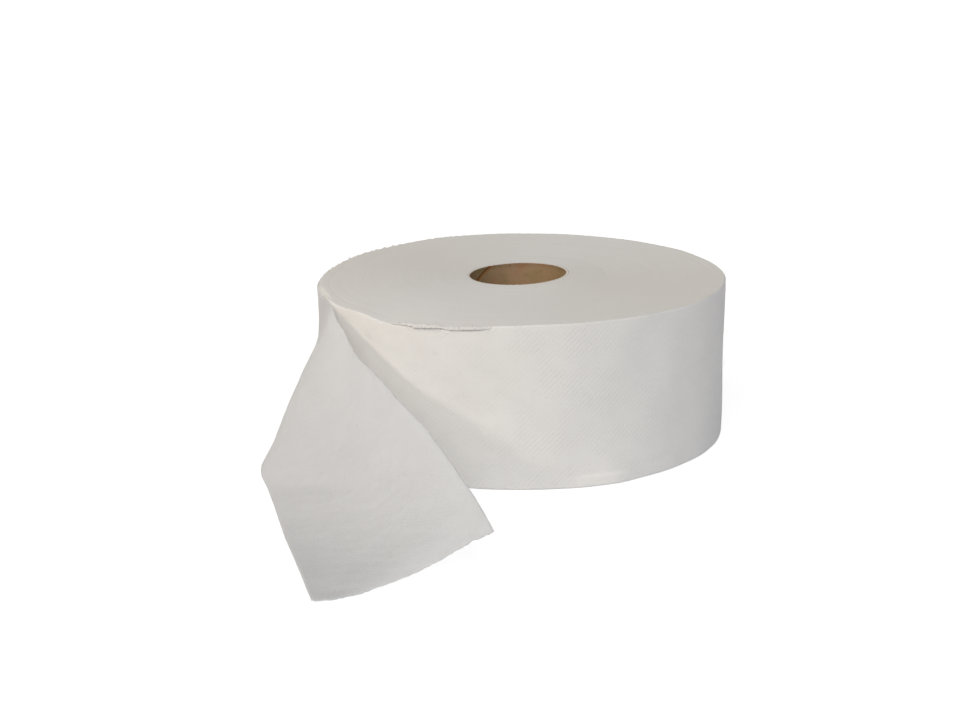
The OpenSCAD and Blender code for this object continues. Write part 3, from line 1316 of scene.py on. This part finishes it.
@dataclass
class LintFibres:
    """Fine fibres that stand off the side.

    Lengths and heights are in millimetres and angles in degrees. Each placed fibre is its angle,
    the height of its foot, its length and how far it stands off.
    """

    sizes: RollSizes
    count: int = 46
    radius: float = 0.07 * MM
    beads: int = 18
    sides: int = 6
    seed: int = 61
    lengths: tuple[float, float] = (1.5, 6)
    turns: tuple[float, float] = (-175, 160)
    feet: tuple[float, float] = (3, 92)
    stands: tuple[float, float] = (0.3, 1.1)
    leans: tuple[float, float] = (-1.5, 1.5)
    placed_lean: float = 0.4
    placed: tuple[tuple[float, float, float, float], ...] = (
        (-7, 57, 12, 2.4), (-6, 75.5, 3.5, 1.6), (-8, 42, 4, 0.9), (-7, 88, 3, 0.5))

    def line(self, turned: float, height: float, length: float, stand: float,
             lean: float) -> np.ndarray:
        """One fibre's middle line: a loop that leaves the side and comes back near it.

        Args:
            turned: angle about the axis in degrees.
            height: height of its foot in millimetres.
            length: how far it reaches along the side in millimetres.
            stand: how far it stands off in millimetres.
            lean: how far it drifts round the roll in degrees.

        Returns:
            Points on the line.
        """
        t = np.linspace(0, 1, self.beads)
        bow = np.sin(math.pi * t ** 0.8) ** 0.7 * stand
        r = self.sizes.radius + (bow - 0.15) * MM
        angle = np.radians(turned + lean * t + 0.25 * np.sin(5 * t))
        z = (height + length * t + 0.12 * length * np.sin(6 * t)) * MM
        return np.stack([self.sizes.slump + r * np.cos(angle), r * np.sin(angle), z], -1)

    def build(self, material: bpy.types.Material) -> bpy.types.Object:
        """Makes the piece.

        Args:
            material: the tissue.

        Returns:
            The piece.
        """
        dice = np.random.default_rng(self.seed)
        lines = [self.line(*spot, self.placed_lean) for spot in self.placed]
        for _ in range(self.count):
            length = dice.uniform(*self.lengths)
            turned = dice.uniform(*self.turns)
            foot = dice.uniform(self.feet[0], self.feet[1] - length)
            stand = dice.uniform(*self.stands)
            lines.append(self.line(turned, foot, length, stand, dice.uniform(*self.leans)))
        mesher = Mesher("lint_fibres")
        around = np.arange(self.sides) * 2 * math.pi / self.sides
        for line in lines:
            run = np.gradient(line, axis=0)
            run /= np.linalg.norm(run, axis=1, keepdims=True)
            one = np.cross(run, np.array([0.3, 0.5, 0.81]))
            one /= np.linalg.norm(one, axis=1, keepdims=True)
            other = np.cross(run, one)
            thin = self.radius * np.sin(np.linspace(0.25, math.pi - 0.25, self.beads)) ** 0.5
            ring = (np.cos(around)[None, :, None] * one[:, None]
                    + np.sin(around)[None, :, None] * other[:, None])
            tube = line[:, None] + thin[:, None, None] * ring
            uv = np.zeros((self.beads + 1, self.sides + 1, 2))
            mesher.grid(tube, uv, wrap_columns=True)
        return finish_piece(mesher.build([material]), "tissue")


@dataclass
class CoreTube:
    """Board core, wound from strips, with a step along its seam and dusty cut ends."""

    sizes: RollSizes
    columns: int = 256
    rows: int = 60
    outer_rows: int = 9
    end_reach: float = 0.2 * MM
    step_height: float = 0.25 * MM
    burr: float = 0.5 * MM

    def points(self) -> tuple[np.ndarray, np.ndarray]:
        """Section of the tube swept round, from the outer foot up and down the bore.

        Returns:
            Points as rows x columns x 3, and the height of each row.
        """
        s = self.sizes
        near = self.end_reach
        outside = np.linspace(near, s.width - near, self.outer_rows)
        up = np.concatenate([[0], outside, [s.width]])
        down = np.concatenate([[s.width], np.linspace(s.width - near, near, self.rows), [0]])
        heights = np.concatenate([up, down])
        outer = np.concatenate([np.ones(len(up)), np.zeros(len(down))])
        angle = np.arange(self.columns) * 2 * math.pi / self.columns
        seam = (heights[:, None] / SEAM_PITCH + angle[None, :] / (2 * math.pi) - SEAM_PHASE) % 1
        inside = s.bore_radius + self.step_height * step(seam, 0.0, 0.02) * step(seam, 1.0, 0.35)
        fuzz = Waves(41, 5 * MM, 2 * MM, 20, 2 * math.pi * s.core_radius).at(angle * s.core_radius)
        inside = inside - self.burr * step(heights, s.width - 2.2 * MM, s.width)[:, None]
        r = np.where(outer[:, None] > 0, s.core_radius, inside)
        ends = (np.abs(heights - s.width) < 1e-9).astype(float)[:, None]
        high = step(heights, s.width / 2, s.width)[:, None]
        z = heights[:, None] - ends * (0.12 + 0.05 * fuzz[None, :]) * MM
        z = z + high * slant(angle)[None, :]
        x, y = r * np.cos(angle)[None, :], r * np.sin(angle)[None, :]
        return np.stack(np.broadcast_arrays(x, y, z), -1), heights

    def build(self, bore: bpy.types.Material, end: bpy.types.Material) -> bpy.types.Object:
        """Makes the piece.

        Args:
            bore: material of the board's faces.
            end: material of its two cut ends.

        Returns:
            The piece, which stands for the CAD core.
        """
        points, heights = self.points()
        slots = np.zeros(len(heights), int)
        slots[[self.outer_rows + 1, -1]] = 1
        arc = self.sizes.bore_radius * np.arange(self.columns + 1) * 2 * math.pi / self.columns
        heights = np.append(heights, heights[0])
        uv = np.stack(np.broadcast_arrays(arc[None, :], heights[:, None]), -1)
        mesher = Mesher("core_tube")
        mesher.grid(points, uv, slots, wrap_rows=True, wrap_columns=True)
        return finish_piece(mesher.build([bore, end]), "cardboard", "core")


@dataclass(frozen=True)
class Lamp:
    """A distant soft lamp: where it stands in degrees, its strength, tint and width in the sky."""

    name: str
    heading: float
    height: float
    power: float
    tint: Colour
    softness: float

    def build(self) -> None:
        """Adds the lamp; its heading runs from -Y towards +X."""
        data = bpy.data.lights.new(self.name, "SUN")
        data.energy, data.color, data.angle = self.power, self.tint, math.radians(self.softness)
        made = bpy.data.objects.new(self.name, data)
        a, e = math.radians(self.heading), math.radians(self.height)
        towards = Vector((math.sin(a) * math.cos(e), -math.cos(a) * math.cos(e), math.sin(e)))
        made.rotation_euler = towards.to_track_quat("Z", "Y").to_euler()
        bpy.context.scene.collection.objects.link(made)


@dataclass(frozen=True)
class Studio:
    """Camera, lamps, floor and white surroundings.

    The camera's angles are in degrees, and its lens and sensor in millimetres.
    """

    place: Colour = (0.002, -1.03551, 0.33389)
    yaw: float = -1.43
    pitch: float = 15.80
    roll: float = -0.44
    lens: float = 64.53
    sensor: float = 36.0
    sky: float = 0.08
    floor_radius: float = 14.0
    floor_corners: int = 96
    floor_drop: float = 0.1 * MM
    lamps: tuple[Lamp, ...] = (
        Lamp("key", -60.6, 29.8, 0.634, (1.0, 0.916, 0.817), 8),
        Lamp("left_high", -30, 42, 0.47, (1.0, 0.933, 0.828), 50),
        Lamp("front_high", 0, 42, 1.37, (1.0, 0.981, 0.966), 50),
        Lamp("left_low", -100, 12, 0.844, (1.0, 0.885, 0.796), 50),
        Lamp("right_low", 30, 12, 0.279, (0.651, 0.808, 1.0), 50),
        Lamp("right_side", 65, 12, 0.261, (0.604, 0.689, 1.0), 50),
        Lamp("back_left", -150, 40, 0.224, (1.0, 1.0, 1.0), 60),
        Lamp("back_right", 150, 40, 0.224, (1.0, 1.0, 1.0), 60))

    def camera(self) -> None:
        """Puts the camera where the photograph was taken from."""
        yaw, pitch, roll = (math.radians(a) for a in (self.yaw, self.pitch, self.roll))
        ahead = Vector((math.sin(yaw) * math.cos(pitch), math.cos(yaw) * math.cos(pitch),
                        -math.sin(pitch)))
        right = ahead.cross(Vector((0, 0, 1))).normalized()
        up = right.cross(ahead)
        turned = math.cos(roll) * right + math.sin(roll) * up
        upright = -math.sin(roll) * right + math.cos(roll) * up
        data = bpy.data.cameras.new("camera")
        data.lens, data.sensor_width, data.clip_end = self.lens, self.sensor, 100.0
        camera = bpy.data.objects.new("camera", data)
        axes = Matrix((turned, upright, -ahead)).transposed()
        camera.matrix_world = Matrix.Translation(self.place) @ axes.to_4x4()
        bpy.context.scene.collection.objects.link(camera)
        bpy.context.scene.camera = camera

    def world(self) -> None:
        """Even light from all round, and plain white where the camera looks past the floor."""
        graph = Graph("surroundings", world=True)
        lit, shown = (
            graph.node("ShaderNodeBackground", None, {0: (1, 1, 1, 1), 1: strength}).outputs[0]
            for strength in (self.sky, 1.0))
        mixed = graph.node("ShaderNodeMixShader", None,
                           {0: seen_directly(graph), 1: lit, 2: shown}).outputs[0]
        graph.node("ShaderNodeOutputWorld", None, {0: mixed})
        bpy.context.scene.world = graph.material

    def floor(self) -> None:
        """Lays the pale floor under the roll."""
        mesh = bpy.data.meshes.new("floor")
        turns = [2 * math.pi * k / self.floor_corners for k in range(self.floor_corners)]
        corners = [(self.floor_radius * math.cos(a), self.floor_radius * math.sin(a),
                    -self.floor_drop) for a in turns]
        mesh.from_pydata(corners, [], [tuple(range(self.floor_corners))])
        mesh.materials.append(FloorFinish().material())
        laid = bpy.data.objects.new("floor", mesh)
        bpy.context.scene.collection.objects.link(laid)

    def build(self) -> None:
        """Sets up everything round the object."""
        view = bpy.context.scene.view_settings
        view.view_transform = "Standard"
        self.camera()
        for lamp in self.lamps:
            lamp.build()
        self.world()
        self.floor()


def main() -> None:
    """Builds the roll and its studio."""
    logging.basicConfig(level=logging.INFO, format="%(name)s: %(message)s")
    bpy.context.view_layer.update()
    sizes = RollSizes.from_frame(frame["record"])
    path = SheetPath(sizes)
    rim = Rim(sizes)
    Studio().build()
    leave = math.radians(path.leave)
    side = TissueFinish(Skin.SIDE, *SIDE_TINTS).material()
    cut = TissueFinish(Skin.CUT, *CUT_TINTS, roll_radius=sizes.radius / MM)
    loose = TissueFinish(Skin.LOOSE, *LOOSE_TINTS, see_through=0.65,
                         leaves=sizes.radius / MM * leave)
    WoundRoll(sizes, rim, leave).build(side, cut.material())
    LooseSheet(path, rim).build(loose.material())
    # The hem gets the side's tissue in a darker copy, as painted shade
    RolledHem(sizes).build(TissueFinish(Skin.SIDE, *HEM_SHADED_TINTS).material())
    LintFibres(sizes).build(side)
    board = BoardFinish()
    CoreTube(sizes).build(board.bore(), board.cut_end())


if __name__ == "__main__":
    main()
